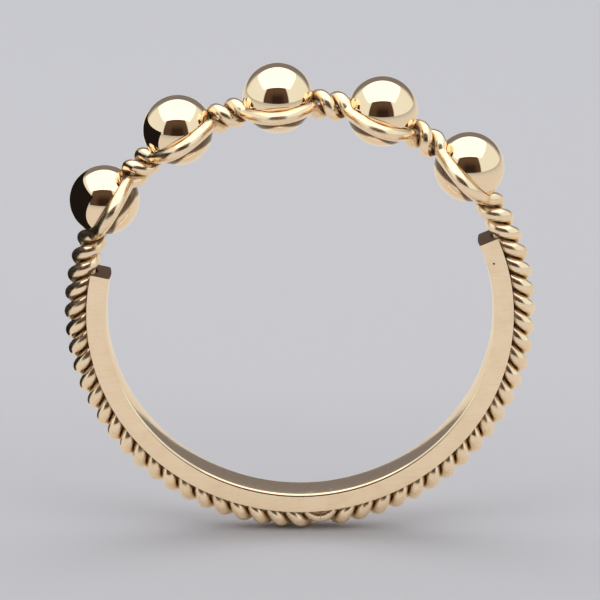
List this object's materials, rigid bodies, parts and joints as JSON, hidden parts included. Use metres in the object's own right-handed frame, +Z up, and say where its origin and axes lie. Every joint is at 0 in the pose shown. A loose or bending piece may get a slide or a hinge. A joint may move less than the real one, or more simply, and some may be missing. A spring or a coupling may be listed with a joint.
{
  "type": "wedding band",
  "caption": "Slim gold wedding band: polished round beads held between the parted wires of a twisted rope, with a plain channelled liner inside the lower part of the band.",
  "frame": {"origin": "lowest point of the band as it stands upright, centred across its width", "axes": "+Z up through the finger hole's centre and the middle bead, +Y along the finger hole away from the viewer, +X to the viewer's right"},
  "size_m": [0.0212, 0.0044, 0.0224],
  "materials": {
    "bead_1_gold": "mirror-polished yellow gold",
    "bead_2_gold": "mirror-polished yellow gold",
    "bead_3_gold": "mirror-polished yellow gold",
    "bead_4_gold": "mirror-polished yellow gold",
    "bead_5_gold": "mirror-polished yellow gold",
    "rope_wire_a_gold": "polished yellow gold",
    "rope_wire_b_gold": "polished yellow gold",
    "liner_gold": "polished yellow gold"
  },
  "bodies": {
    "root": {"bead_1": "bead_1_gold", "bead_2": "bead_2_gold", "bead_3": "bead_3_gold", "bead_4": "bead_4_gold", "bead_5": "bead_5_gold", "inner_liner": "liner_gold", "rope_wire_a": "rope_wire_a_gold", "rope_wire_b": "rope_wire_b_gold"}
  },
  "joints": []
}
